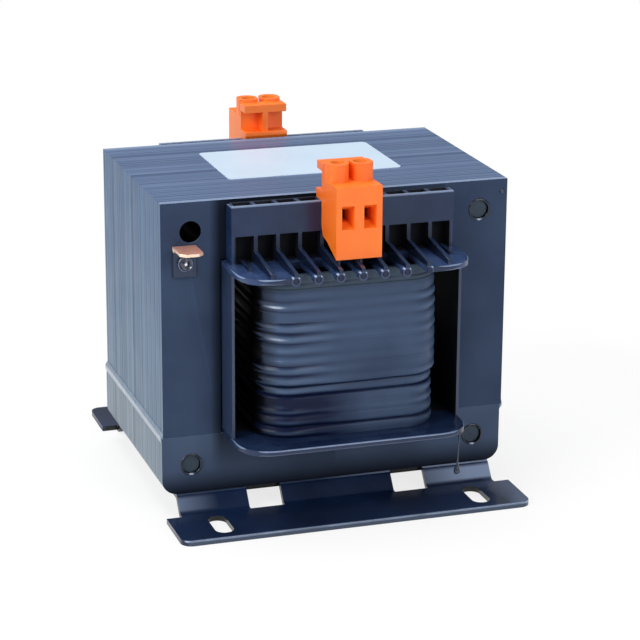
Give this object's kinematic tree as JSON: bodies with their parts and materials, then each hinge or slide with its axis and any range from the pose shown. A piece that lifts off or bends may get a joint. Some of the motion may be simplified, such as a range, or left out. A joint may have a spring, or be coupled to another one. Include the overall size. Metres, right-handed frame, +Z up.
{
  "type": "mains transformer",
  "caption": "Single-phase mains transformer with a laminated core, varnished coil, screw clamp blocks front and back, and slotted sheet feet for screwing down.",
  "frame": {"origin": "on the mounting surface, under the middle of the core", "axes": "+X to the right along the front face with the earth tab, +Y to the back, +Z up"},
  "size_m": [0.0974, 0.1084, 0.096],
  "materials": {
    "core_e_finish": "laminated edges under blue-grey varnish",
    "core_i_finish": "laminated edges under blue-grey varnish",
    "seam_finish": "glossy varnish over the weld",
    "pin_finish": "satin varnish",
    "foot_finish": "satin varnished sheet",
    "bobbin_finish": "moulded, varnished",
    "liner_finish": "varnished sheet",
    "winding_copper": "enamelled copper wire, packed",
    "insulation_film": "film",
    "wrap_finish": "varnished film over thick turns",
    "lead_finish": "varnished wire",
    "housing_plastic": "moulded, orange",
    "screw_metal": "zinc plated",
    "cage_metal": "plated steel",
    "strip_metal": "tinned brass",
    "tab_metal": "copper coloured",
    "rivet_metal": "varnished steel",
    "label_face": "white, bare"
  },
  "bodies": {
    "root": {"core_e_stack": "core_e_finish", "core_i_stack": "core_i_finish", "core_weld_seams": "seam_finish", "corner_pins": "pin_finish", "front_foot": "foot_finish", "rear_foot": "foot_finish", "foot_welds": "seam_finish", "bobbin": "bobbin_finish", "left_liner": "liner_finish", "right_liner": "liner_finish", "primary_winding": "winding_copper", "interlayer_insulation": "insulation_film", "secondary_winding": "winding_copper", "coil_wrap": "wrap_finish", "primary_leads": "lead_finish", "secondary_leads": "lead_finish", "front_terminal_housing": "housing_plastic", "rear_terminal_housing": "housing_plastic", "front_terminal_screws": "screw_metal", "rear_terminal_screws": "screw_metal", "front_clamp_cages": "cage_metal", "rear_clamp_cages": "cage_metal", "front_contact_strips": "strip_metal", "rear_contact_strips": "strip_metal", "earth_tab": "tab_metal", "earth_rivet": "rivet_metal", "rating_label": "label_face"}
  },
  "joints": []
}
